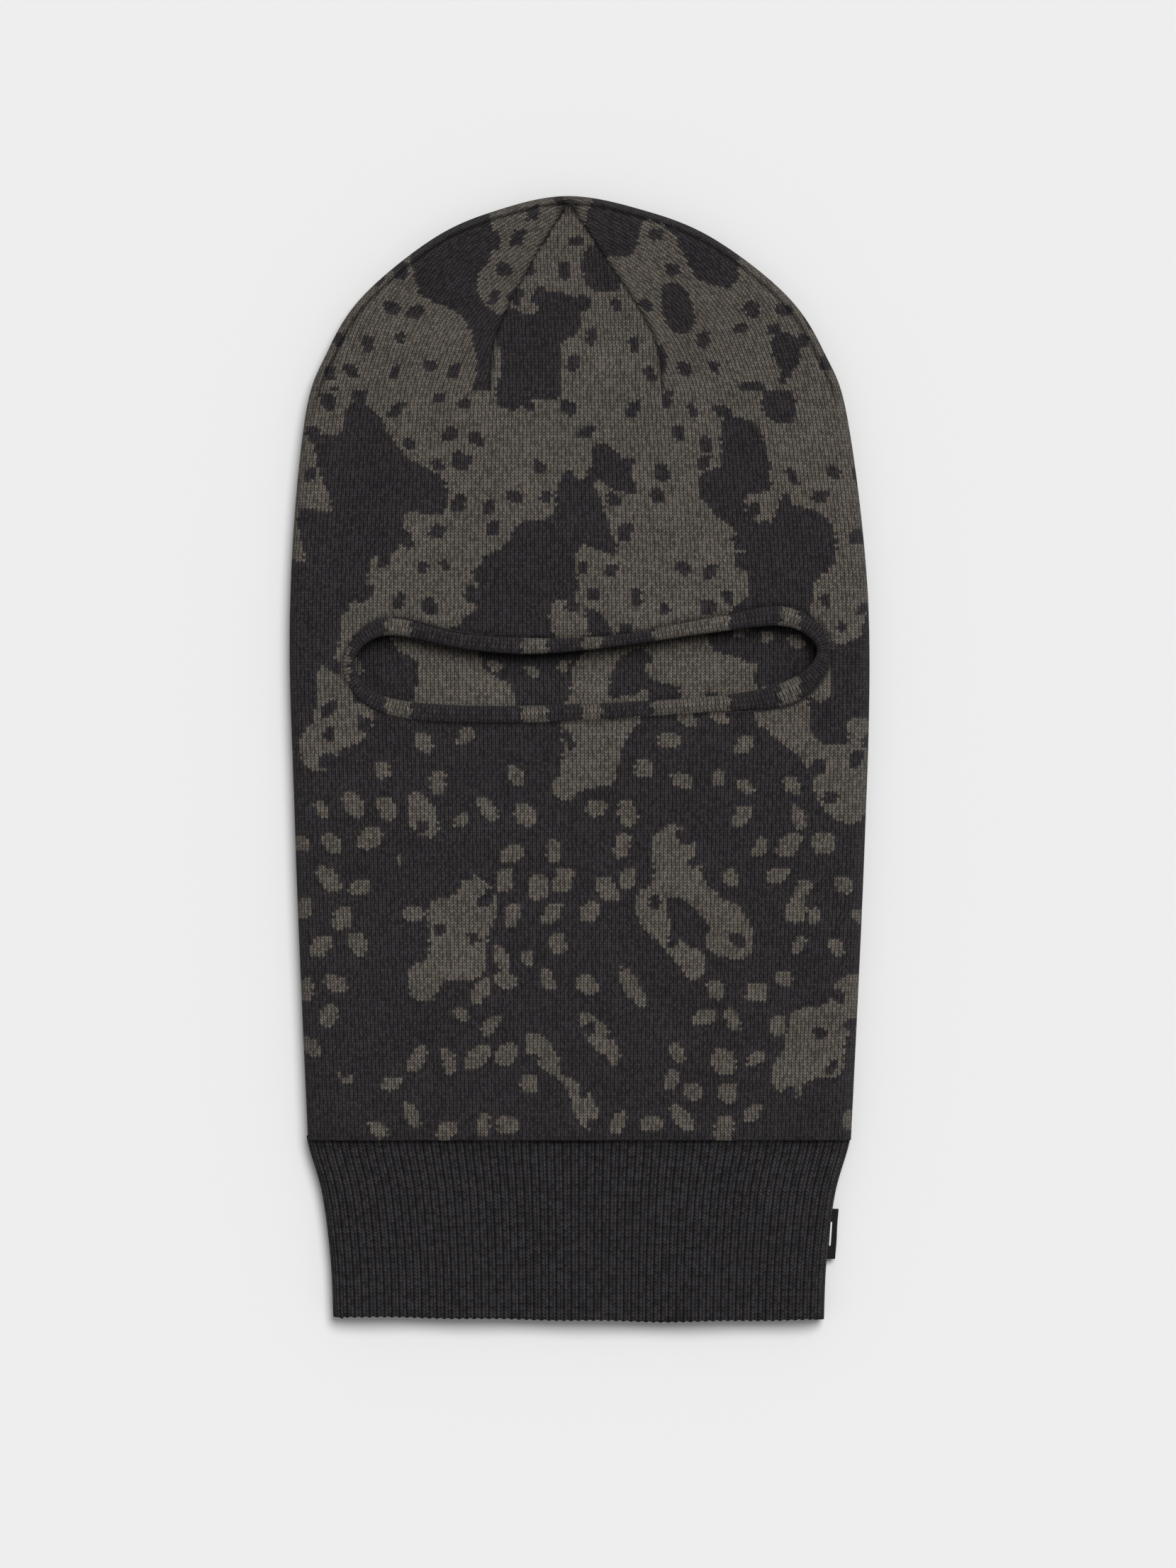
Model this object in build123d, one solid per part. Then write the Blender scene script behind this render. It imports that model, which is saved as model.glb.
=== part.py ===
"""Knitted balaclava lying flat on its back.

X runs across the width, Y along the length with the crown at +Y, Z up.
Millimetres.  Every piece is its own solid in its own STEP file.
"""
import os
from build123d import *

# ---- Driving dimensions -------------------------------------------------
LENGTH = 410.0            # crown apex to rib hem
APEX_Y = LENGTH / 2
HEM_Y = -LENGTH / 2
SEAM_Y = -138.5           # where the hood is linked to the rib
WALL = 2.2                # thickness of the knit
SEAM_THICK = 1.2          # extra thickness of an inner seam allowance
SEAM_WIDTH = 6.0
HOOD_HIGH = 12.0          # height of the flattened hood
HOOD_EDGE = 5.7           # radius of the fold at the hood's edge
RIB_HIGH = 10.2           # height of the flattened rib
RIB_EDGE = 4.9
JOIN_GAP = 0.4            # slack between hood and rib, where the fold runs
DART_END_Y = 133.5        # lower end of the crown darts
DART_END_X = 31.0
BINDING_PROUD = 1.2       # how far the binding stands off each side of the knit
BINDING_BITE = 3.2        # depth of knit that the binding wraps
CHAIN_RADIUS = 0.45       # linking chain round the binding
TACK_RADIUS = 3.0
GROOVE_PITCH = 2.7        # one knit column and one purl column of the rib
GROOVE_WIDE = 1.1
GROOVE_DEEP = 0.7
GROOVES = 62
TAB_LONG = 18.3
TAB_REACH = 3.6
TAB_THICK = 0.9
TAB_TILT = -35.0
TAB_AT = (91.8, -173.3)   # middle of the tab's root on the rib's right edge
TAB_TURN = -7.4           # the rib narrows here, so the tab leans with it
CARE_LONG = 32.0
CARE_WIDE = 22.0
CARE_THICK = 0.5

# Right half of each outline, from the middle outwards and down.
HOOD_HALF = [(27, 199.7), (51, 189.5), (77, 168.8), (90.5, 148), (99, 122.3),
             (105.3, 54), (103.6, -30), (98.8, -138.5), (97.6, -160)]
RIB_HALF = [(100.6, -128), (98.2, -141), (93.4, -158), (90.3, -182),
            (89.3, -205), (89.1, -220)]
# The slot dips left of the middle and lifts towards the right.
SLOT_OPEN = [(-81.5, 35), (-70, 43.8), (-42, 38.5), (-16, 35), (16, 40), (46, 44.5),
             (75, 47.6), (86.7, 39.5), (75.5, 28.5), (46, 22.7), (-25, 19.2), (-69, 22.2)]
SLOT_SEAM = [(-86, 34), (-72, 51), (-42, 45.5), (-12, 43), (16, 45.5), (46, 51.2),
             (76, 55.2), (91.7, 41), (80, 21.5), (46, 16.8), (-25, 13), (-71, 16.6)]


def beside(curve, distance, closed=False, count=40):
    """Points at a distance to the right-hand side of a curve, which is inwards here."""
    steps = count if closed else count - 1
    points = []
    for n in range(count):
        along = curve % (n / steps)
        points.append(curve @ (n / steps) + Vector(along.Y, -along.X) * distance)
    return points


def hood_face(inset):
    """The hood's outline drawn in by inset; its foot stays open-ended."""
    left = [(-x, y) for x, y in reversed(HOOD_HALF)]
    curve = Spline(left + [(0, APEX_Y)] + HOOD_HALF)
    if inset:
        curve = Spline(beside(curve, inset))
    return make_face(curve + Line(curve @ 1, curve @ 0))


def rib_face(inset):
    """The rib's outline: two mirrored sides drawn in by inset, joined by straight ends."""
    right = Spline(RIB_HALF)
    if inset:
        right = Spline(beside(right, inset))
    left = right.mirror(Plane.YZ)
    return make_face(right + left + Line(left @ 0, right @ 0) + Line(left @ 1, right @ 1))


def slot_face(points, inset):
    curve = Spline(points, periodic=True)
    if inset:
        curve = Spline(beside(curve, inset, closed=True, count=96), periodic=True)
    return make_face(curve)


def prism(face, low, high):
    return Pos(0, 0, low) * extrude(face, high - low)


def bag(outline, inset, high, radius):
    """A flattened tube: the outline drawn in, with its two rims rounded."""
    solid = prism(outline(inset), inset, high - inset)
    rims = ShapeList()
    for flat in (solid.faces().sort_by(Axis.Z)[0], solid.faces().sort_by(Axis.Z)[-1]):
        rims += flat.edges().filter_by(GeomType.LINE, reverse=True)
    return fillet(rims, radius - inset)


def slab(y_low, y_high, z_low, z_high, x_low=-150, x_high=150):
    size = (x_high - x_low, y_high - y_low, z_high - z_low)
    middle = ((x_low + x_high) / 2, (y_low + y_high) / 2, (z_low + z_high) / 2)
    return Pos(*middle) * Box(*size)


def single(shape, name):
    """The one solid in a cut result; anything else is a mistake."""
    solids = shape.solids()
    if len(solids) != 1:
        raise ValueError(f"{name} came out as {len(solids)} solids")
    return solids[0]


pieces = {}

# ---- Hood tube ------------------------------------------------------------
hood_outer = bag(hood_face, 0, HOOD_HIGH, HOOD_EDGE)
hood_inner = bag(hood_face, WALL, HOOD_HIGH, HOOD_EDGE)
hood_lined = bag(hood_face, WALL + SEAM_THICK, HOOD_HIGH, HOOD_EDGE)
middle_z = HOOD_HIGH / 2
hood_top = slab(SEAM_Y, APEX_Y + 5, middle_z, HOOD_HIGH + 5)
hood_bottom = slab(SEAM_Y, APEX_Y + 5, -5, middle_z)
hood_wall = hood_outer - hood_inner
lining = hood_inner - hood_lined

tack = Pos(0, APEX_Y - TACK_RADIUS, middle_z) * Sphere(TACK_RADIUS)
slot_seam = slot_face(SLOT_SEAM, 0)
slot_open = slot_face(SLOT_OPEN, 0)
slot_raw = slot_face(SLOT_SEAM, BINDING_BITE)
front = (hood_wall & hood_top) - tack - prism(slot_raw, middle_z, HOOD_HIGH + 5)
back = (hood_wall & hood_bottom) - tack
pieces["hood_front_panel"] = front
pieces["hood_back_panel"] = back
pieces["crown_tip_tack"] = tack

# ---- Eye slot ---------------------------------------------------------------
binding_low = HOOD_HIGH - WALL - BINDING_PROUD
binding_high = HOOD_HIGH + BINDING_PROUD
ring = prism(slot_seam - slot_open, binding_low, binding_high)
rims = ring.faces().sort_by(Axis.Z)[0].edges() + ring.faces().sort_by(Axis.Z)[-1].edges()
pieces["eye_binding"] = fillet(rims, BINDING_PROUD * 0.7) - front
chain_off = CHAIN_RADIUS + 0.02
chain_points = beside(Spline(SLOT_SEAM, periodic=True), -chain_off, closed=True, count=96)
chain_line = Spline(chain_points, periodic=True)
chain_ring = sweep(Plane(chain_line @ 0, z_dir=chain_line % 0) * Circle(CHAIN_RADIUS), chain_line)
pieces["eye_binding_seam"] = Pos(0, 0, HOOD_HIGH + chain_off) * chain_ring

# ---- Seam allowances inside the hood ------------------------------------------
edge_band = hood_face(-5) - hood_face(WALL + SEAM_WIDTH)
band = lining & prism(edge_band, 0, HOOD_HIGH) & slab(SEAM_Y + SEAM_WIDTH, APEX_Y, 0, HOOD_HIGH)
for side, name in ((-1, "left"), (1, "right")):
    reach = (-150, -0.5) if side < 0 else (0.5, 150)
    half = slab(HEM_Y, APEX_Y, 0, HOOD_HIGH, *reach)
    pieces[f"side_seam_{name}"] = (band & half) - tack
    path = ThreePointArc((side * 5, 192), (side * 20.5, 166), (side * DART_END_X, DART_END_Y))
    strip = make_face(trace(path, SEAM_WIDTH).faces()[0].outer_wire())
    clear = prism(strip, 0, HOOD_HIGH) - prism(edge_band, 0, HOOD_HIGH)
    allowance = lining & clear & half
    pieces[f"crown_seam_front_{name}"] = allowance & hood_top
    pieces[f"crown_seam_back_{name}"] = allowance & hood_bottom
pieces["collar_seam"] = lining & slab(SEAM_Y, SEAM_Y + SEAM_WIDTH, 0, HOOD_HIGH)

# ---- Rib neck -----------------------------------------------------------------
rib_outer = bag(rib_face, 0, RIB_HIGH, RIB_EDGE)
rib_inner = bag(rib_face, WALL, RIB_HIGH, RIB_EDGE)
rib_lined = bag(rib_face, WALL + SEAM_THICK, RIB_HIGH, RIB_EDGE)
rib_middle = RIB_HIGH / 2
rib_span = (HEM_Y, SEAM_Y - JOIN_GAP)
rib_wall = rib_outer - rib_inner
first_groove = -GROOVE_PITCH * (GROOVES - 1) / 2
groove_long = rib_span[1] - rib_span[0] + 2
groove = Rot(0, 45, 0) * Box(GROOVE_WIDE, groove_long, GROOVE_WIDE)
sink = GROOVE_WIDE * 0.7071 - GROOVE_DEEP
places = [first_groove + GROOVE_PITCH * n for n in range(GROOVES)]
groove_y = sum(rib_span) / 2
top_grooves = [Pos(x, groove_y, RIB_HIGH + sink) * groove for x in places]
bottom_grooves = [Pos(x, groove_y, -sink) * groove for x in places]
rib_front = (rib_wall & slab(*rib_span, rib_middle, RIB_HIGH)) - top_grooves
rib_back = (rib_wall & slab(*rib_span, 0, rib_middle)) - bottom_grooves
pieces["collar_rib_front"] = rib_front
pieces["collar_rib_back"] = rib_back
rib_band = rib_face(-5) - rib_face(WALL + SEAM_WIDTH * 0.7)
rib_allowance = (rib_inner - rib_lined) & prism(rib_band, 0, RIB_HIGH)
for name, reach in (("left", (-150, 0)), ("right", (0, 150))):
    pieces[f"collar_side_seam_{name}"] = rib_allowance & slab(*rib_span, 0, RIB_HIGH, *reach)

# ---- Labels -------------------------------------------------------------------
tab_root = Pos(TAB_REACH / 2, 0, 0) * Box(TAB_REACH, TAB_LONG, TAB_THICK)
tab_root += Rot(90, 0, 0) * Cylinder(TAB_THICK / 2, TAB_LONG)
tab_place = Pos(TAB_AT[0] + JOIN_GAP + TAB_THICK / 2, TAB_AT[1], rib_middle)
pieces["tab_label"] = tab_place * Rot(0, 0, TAB_TURN) * Rot(0, -TAB_TILT, 0) * tab_root
care_z = WALL + CARE_THICK / 2
care_x = -98 + WALL + SEAM_WIDTH + CARE_LONG / 2
pieces["care_label"] = Pos(care_x, -95, care_z) * Box(CARE_LONG, CARE_WIDE, CARE_THICK)

os.makedirs("parts", exist_ok=True)
for name, shape in pieces.items():
    solid = single(shape, name)
    solid.label = name
    export_step(solid, f"parts/{name}.step")
    box = solid.bounding_box()
    print(name, round(solid.volume), [round(v, 1) for v in (*box.min, *box.max)])
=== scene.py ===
"""Looks for the knitted balaclava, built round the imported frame. Shapes are in millimetres."""
import math

import bpy
import numpy as np
from mathutils import Matrix, Vector


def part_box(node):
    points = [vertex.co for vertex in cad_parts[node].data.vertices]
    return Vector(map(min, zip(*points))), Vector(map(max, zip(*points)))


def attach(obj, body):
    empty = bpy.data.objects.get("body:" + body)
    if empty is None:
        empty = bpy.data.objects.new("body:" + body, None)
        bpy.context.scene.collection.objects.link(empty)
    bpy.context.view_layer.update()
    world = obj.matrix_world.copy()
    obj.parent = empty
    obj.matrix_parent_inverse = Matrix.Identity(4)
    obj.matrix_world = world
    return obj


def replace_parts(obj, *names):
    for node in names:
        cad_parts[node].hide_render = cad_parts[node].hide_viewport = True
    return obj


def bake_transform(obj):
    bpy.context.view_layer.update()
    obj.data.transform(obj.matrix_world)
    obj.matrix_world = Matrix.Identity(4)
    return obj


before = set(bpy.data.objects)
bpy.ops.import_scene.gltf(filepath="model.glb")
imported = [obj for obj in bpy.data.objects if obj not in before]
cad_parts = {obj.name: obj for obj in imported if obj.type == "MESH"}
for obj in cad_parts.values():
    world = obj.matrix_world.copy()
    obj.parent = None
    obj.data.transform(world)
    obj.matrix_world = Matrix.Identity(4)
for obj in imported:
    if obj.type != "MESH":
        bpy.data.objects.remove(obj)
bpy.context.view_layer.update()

# ---- Sizes that follow the frame ----------------------------------------------
panel_low, panel_high = (v * 1000 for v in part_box("hood_front_panel"))
rib_low, rib_high = (v * 1000 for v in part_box("collar_rib_front"))
APEX_Y = panel_high.y
SEAM_Y = panel_low.y
HEM_Y = rib_low.y
MID_Z = panel_low.z
HOOD_R = panel_high.z - MID_Z     # half the height of the flattened hood
RIB_MID = rib_low.z
RIB_R = rib_high.z - RIB_MID
WALL = 2.2                        # thickness of the knit
DART_Y = 133.5                    # lower end of the crown's darts
DART_X = 31.5
WALES = 148                       # knit columns across one side of the hood
COURSE = 1.07                     # height of one stitch
LIFT = 0.75                       # how far a stitch's legs climb, in courses
RIBS = 68                         # ribs across one side of the neck
RIB_STEPS = 6                     # points across one rib
RIB_COURSE = 1.27
RIB_TOP = SEAM_Y + 1.5            # the rib starts a little way under the hood
HEM_ROOM = 0.9                    # left free at the hem for its waves
BAND_LOW, BAND_HIGH = 8, 60       # the part of the inside that shows through the slot

# Right half of each outline, then the slot's open edge and the seam round its binding.
HOOD_HALF = [(27, 199.7), (51, 189.5), (77, 168.8), (90.5, 148), (99, 122.3), (105.3, 54),
             (103.6, -30), (98.8, -138.5), (97.6, -160)]
RIB_HALF = [(100.6, -128), (98.2, -141), (93.4, -158), (90.3, -182), (89.3, -205), (89.1, -220)]
SLOT_OPEN = [(-81.5, 35), (-70, 45), (-42, 40), (-16, 38.2), (16, 41.2), (46, 45.6), (75, 48.3),
             (86.7, 39.5), (75.5, 28.5), (46, 22.7), (-25, 19.4), (-69, 22.4)]
SLOT_SEAM = [(-86, 34), (-72, 51), (-42, 45.6), (-12, 44), (16, 45.5), (46, 51.2), (76, 55.2),
             (91.7, 41), (80, 21.5), (46, 16.8), (-25, 13), (-71, 16.6)]


def curve_through(points, count, closed=False):
    """A smooth curve through points, at even spacing."""
    p = np.array(points, float)
    if closed:
        p = np.vstack([p[-1], p, p[0], p[1]])
    else:
        p = np.vstack([2 * p[0] - p[1], p, 2 * p[-1] - p[-2]])
    t = np.linspace(0, 1, 24, endpoint=False)[:, None]
    runs = []
    for a, b, c, d in zip(p[:-3], p[1:-2], p[2:-1], p[3:]):
        runs.append(0.5 * (2 * b + (c - a) * t + (2 * a - 5 * b + 4 * c - d) * t ** 2
                           + (3 * b - a - 3 * c + d) * t ** 3))
    line = np.vstack(runs + [p[-2][None]])
    far = np.concatenate([[0], np.cumsum(np.linalg.norm(np.diff(line, axis=0), axis=1))])
    at = np.linspace(0, far[-1], count, endpoint=not closed)
    return np.column_stack([np.interp(at, far, line[:, k]) for k in range(line.shape[1])])


def distance_to(points, line):
    """Plan distance from each point to a sampled line."""
    found = np.empty(len(points))
    for start in range(0, len(points), 4000):
        part = points[start:start + 4000, None, :2] - line[None, :, :2]
        found[start:start + 4000] = np.sqrt((part ** 2).sum(2).min(1))
    return found


def inside(points, outline):
    """Which points lie inside a closed outline."""
    x, y = points[:, 0], points[:, 1]
    hit = np.zeros(len(points), bool)
    for (x1, y1), (x2, y2) in zip(outline, np.roll(outline, -1, axis=0)):
        if y1 == y2:
            continue
        crosses = (y1 > y) != (y2 > y)
        hit ^= crosses & (x < (x2 - x1) * (y - y1) / (y2 - y1) + x1)
    return hit


left_half = [(-x, y) for x, y in reversed(HOOD_HALF)]
OUTLINE = curve_through(left_half + [(0, APEX_Y)] + HOOD_HALF, 900)
right_side = OUTLINE[OUTLINE[:, 0] >= 0]
rib_side = curve_through(RIB_HALF, 200)
SEAM_LOOP = curve_through(SLOT_SEAM, 520, closed=True)
OPEN_LOOP = curve_through(SLOT_OPEN, 520, closed=True)
TOP_LIP = OPEN_LOOP[OPEN_LOOP[:, 1] > 33]        # the upper edge, below which a shadow is painted on the inside


def half_width(y):
    return np.interp(y, right_side[::-1, 1], right_side[::-1, 0])


def rib_half_width(y):
    return np.interp(y, rib_side[::-1, 1], rib_side[::-1, 0])


# ---- The two-tone jacquard ------------------------------------------------------
# A plain animal-skin pattern made by formula: soft patches of each yarn, dark spots on the
# pale patches, and pale spots on the dark ones below the slot.
GORE_BREAK = 9.0                  # how far the pattern is out of step across a crown seam
SPREAD = 112                      # marks are strewn this far to either side of the middle


def scattered(low, high, gap, size, seed):
    """Marks on a loose staggered grid: (x, y, half width, half height, lean)."""
    rng = np.random.default_rng(seed)
    marks = []
    for row, cy in enumerate(np.arange(low, high, gap)):
        for cx in np.arange(-SPREAD + row % 2 * gap / 2, SPREAD, gap):
            shift = rng.uniform(-0.26, 0.26, 2) * gap
            grow = rng.uniform(0.7, 1.3, 2) * size
            slant = rng.uniform(-0.5, 0.5)
            if rng.random() < 0.8:
                marks.append((cx + shift[0], cy + shift[1], grow[0], grow[1] * 1.15, slant))
    return marks


def patch_level(x, y):
    """Above 0 in the pale patches, which cover more of the hood above the slot than below."""
    wave = (np.sin(x / 13 + 1.6 * np.sin(y / 24 + 0.6))
            + np.sin(y / 17 + 1.7 * np.sin(x / 16 + 2.1))
            + 0.7 * np.sin(x / 8 - y / 11 + 1.0) + 0.35 * np.sin(x / 4.1 + y / 5.3))
    return wave - np.interp(y, [-135, 10, 60, 205], [1.35, 1.15, -0.6, -0.5])


CLEAR_OF_PATCHES = -0.9           # the level below which a pale spot stands clear of a patch
DARK_SPOTS = scattered(-135, 205, 12.0, 2.3, 3)
PALE_SPOTS = [mark for mark in scattered(-132, 24, 12.5, 3.2, 5)
              if patch_level(mark[0], mark[1]) < CLEAR_OF_PATCHES]


def spotted(x, y, marks):
    """Which places lie on rounded four-sided marks."""
    hit = np.zeros(len(x), bool)
    for cx, cy, half_x, half_y, slant in marks:
        near = np.flatnonzero(np.abs(y - cy) < half_y)
        dy = y[near] - cy
        dx = x[near] - cx + slant * dy
        hit[near] |= np.abs(dx / half_x) ** 2.6 + np.abs(dy / half_y) ** 2.6 < 1
    return hit


def front_tone(x, y):
    """1 where the pale yarn shows on the front, 0 where the dark one does."""
    on_gore = (y > DART_Y) & (np.abs(x) > np.interp(y, *DART[1].T[::-1]))
    # Edges step in and out a little from one row of stitches to the next.
    uneven = 0.3 * np.sin(2.4 * np.floor(y / COURSE) + x / 9)
    x = x + GORE_BREAK * on_gore + uneven
    pale = (patch_level(x, y) > 0) & ~spotted(x, y, DARK_SPOTS)
    return (pale | spotted(x, y, PALE_SPOTS)).astype(np.float32)


# ---- Meshes ---------------------------------------------------------------------
def piece(name, points, quads, knit, tone, material, slot_name, smooth=True, shade=None):
    """A mesh of quads. knit is each point's place in stitches, tone is the yarn of each face,
    and shade is each point's brightness: painted shade in seam creases, below the eye slot's
    upper lip and on the rib's top under the hood, and painted light inside the slot."""
    mesh = bpy.data.meshes.new(name)
    mesh.vertices.add(len(points))
    mesh.vertices.foreach_set("co", (np.asarray(points) * 0.001).astype(np.float32).ravel())
    mesh.loops.add(quads.size)
    mesh.loops.foreach_set("vertex_index", quads.astype(np.int32).ravel())
    mesh.polygons.add(len(quads))
    mesh.polygons.foreach_set("loop_start", np.arange(0, quads.size, 4, dtype=np.int32))
    mesh.update(calc_edges=True)
    uv = mesh.uv_layers.new(name="knit")
    uv.data.foreach_set("uv", np.asarray(knit, np.float32)[quads.ravel()].ravel())
    held = mesh.attributes.new("tone", "FLOAT", "FACE")
    held.data.foreach_set("value", np.asarray(tone, np.float32))
    painted_shade_layer = mesh.attributes.new("shade", "FLOAT", "POINT")
    shade = np.ones(len(points)) if shade is None else shade
    painted_shade_layer.data.foreach_set("value", np.asarray(shade, np.float32))
    mesh.validate()
    if smooth:
        mesh.shade_smooth()
    mesh.materials.append(material)
    obj = bpy.data.objects.new(name, mesh)
    bpy.context.scene.collection.objects.link(obj)
    return obj


def grid_quads(rows, columns, flip=False, start=0):
    """Quads of a grid with that many points each way."""
    r, c = np.meshgrid(np.arange(rows - 1), np.arange(columns - 1), indexing="ij")
    a = (start + r * columns + c).ravel()
    quads = np.column_stack([a, a + 1, a + columns + 1, a + columns])
    return quads[:, ::-1] if flip else quads


def rolled(edge_far, radius):
    """Plan distance from the fold, for a distance along the cloth from the fold."""
    turn = np.clip(edge_far / radius, 0, math.pi / 2)
    flat = np.maximum(edge_far - radius * math.pi / 2, 0)
    return radius * (1 - np.cos(turn)) + flat


dart_side = np.array([(DART_X, DART_Y), (29.6, 150), (24.3, 163), (15.5, 178), (4.8, 195),
                      (0, 202.8)])
DART = {side: curve_through(dart_side * [side, 1], 300) for side in (-1, 1)}
fold_part = right_side[right_side[:, 1] > DART_Y + 0.3][::-1]
fold_part = np.vstack([(half_width(DART_Y), DART_Y), fold_part, (0, APEX_Y)])
FOLD = {side: curve_through(fold_part * [side, 1], 300) for side in (-1, 1)}
base_arc = 2 * (half_width(DART_Y) + HOOD_R * (math.pi / 2 - 1))
WALE = base_arc / WALES           # width of one knit column
GORES = ((0, 71.5), (-1, 100), (1, 100))    # middle, left and right: side, length along the knit


def at_share(line, share):
    """Points of a sampled line at shares of its length."""
    steps = np.linspace(0, 1, len(line))
    return np.column_stack([np.interp(share, steps, line[:, k]) for k in (0, 1)])


def edge_distance(points):
    """Plan distance from each point to the hood's fold line, exact between its samples."""
    tangent = np.gradient(OUTLINE, axis=0)
    tangent /= np.linalg.norm(tangent, axis=1)[:, None]
    found = np.empty(len(points))
    for start in range(0, len(points), 4000):
        part = points[start:start + 4000, :2]
        gap = part[:, None, :] - OUTLINE[None, :, :]
        near = (gap ** 2).sum(2).argmin(1)
        off = part - OUTLINE[near]
        found[start:start + 4000] = np.abs(off[:, 0] * tangent[near, 1]
                                           - off[:, 1] * tangent[near, 0])
    return found


def groove(distance, width):
    """1 on a line, fading to 0 beside it."""
    return np.exp(-(distance / width) ** 2)


def swell(x, y):
    """Slow rise and fall of cloth that lies loosely."""
    return (0.45 * np.sin(x / 19 + 0.8) * np.sin(y / 31 + 0.5) + 0.3 * np.sin(x / 11 - y / 17)
            + 0.25 * np.sin(y / 9 + x / 40))


def finish_height(plan, known, side, inset):
    """Height above the fold's plane, and each point's brightness: painted shade in the seams'
    creases and below the eye slot's upper lip, painted light inside the slot.

    known holds distances from the fold, used where the hood's sides run nearly straight."""
    x, y = plan.T
    radius = HOOD_R - inset
    far = known.copy() if known is not None else np.zeros(len(x))
    exact = y > 55 if known is not None else np.ones(len(x), bool)
    far[exact] = edge_distance(plan[exact])
    near = np.clip(far - inset, 0, radius)
    z = np.sqrt(np.maximum(radius ** 2 - (radius - near) ** 2, 0))
    shade = np.ones(len(x))
    if side > 0:
        z += swell(x, y) * np.clip((far - 6) / 14, 0, 1) * 0.8
    crown = y > DART_Y - 8
    if crown.any():
        top = plan[crown]
        dart = np.minimum(distance_to(top, DART[-1]), distance_to(top, DART[1]))
        fade = np.clip((top[:, 1] - DART_Y + 8) / 10, 0, 1)
        beside_dart = groove(dart, 0.55) * fade
        cut = 0.8 * beside_dart - 0.35 * groove(dart - 2.2, 1.0) * fade
        edge_seam = groove(far[crown] - 3.2, 0.65) * fade * (side > 0)
        tip = np.hypot(top[:, 0] / 1.4, top[:, 1] - 201)
        gather_in = groove(tip, 3.0)
        cut += 0.7 * edge_seam + 2.0 * gather_in
        z[crown] -= np.minimum(cut, z[crown] * 0.75)
        if side < 0:
            z[crown] = np.minimum(z[crown], radius)
        # painted shade in the darts' creases, the side seam's groove and the gathered tip of the
        # crown
        shade[crown] -= 0.6 * beside_dart + 0.75 * edge_seam + 0.6 * gather_in
    if side > 0:
        slot = (np.abs(x) < 105) & (y > 0) & (y < 70)
        ring = groove(distance_to(plan[slot], SEAM_LOOP), 0.9)
        z[slot] -= 0.7 * ring
        # painted shade along the groove of the binding's seam round the eye slot
        shade[slot] -= 0.7 * ring
    if side < 0 and inset > 0:
        near_slot = np.exp(-(x / 92) ** 4 - ((y - 28) / 30) ** 4)
        z -= 3.4 * near_slot
        # painted light: the inside seen through the eye slot is made brighter
        shade += 0.12 * near_slot
        # painted shadow on the inside, below the eye slot's upper lip
        slot = (np.abs(x) < 90) & (y > 20) & (y < 60)
        under_lip = np.exp(-(distance_to(plan[slot], TOP_LIP) / 5.4) ** 1.8)
        shade[slot] -= (0.3 + 0.35 * np.exp(-(x[slot] / 66) ** 4)) * under_lip
    low = np.clip(1 - (y - SEAM_Y) / 3.0, 0, 1)
    z -= 0.8 * low ** 2 * np.clip(far / 6, 0, 1)
    return z, np.clip(shade, 0.15, 1.2)


def lean(x, y):
    """The hood lies a little askew, its crown most."""
    slow = np.interp(y, [-205, -138, 0, 60, 125, 205], [-0.4, 0.3, 0.6, 0.2, -0.9, -1.6])
    return slow - 2.2 * np.exp(-(x / 42) ** 2) * np.clip((y - 145) / 40, 0, 1)


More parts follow.
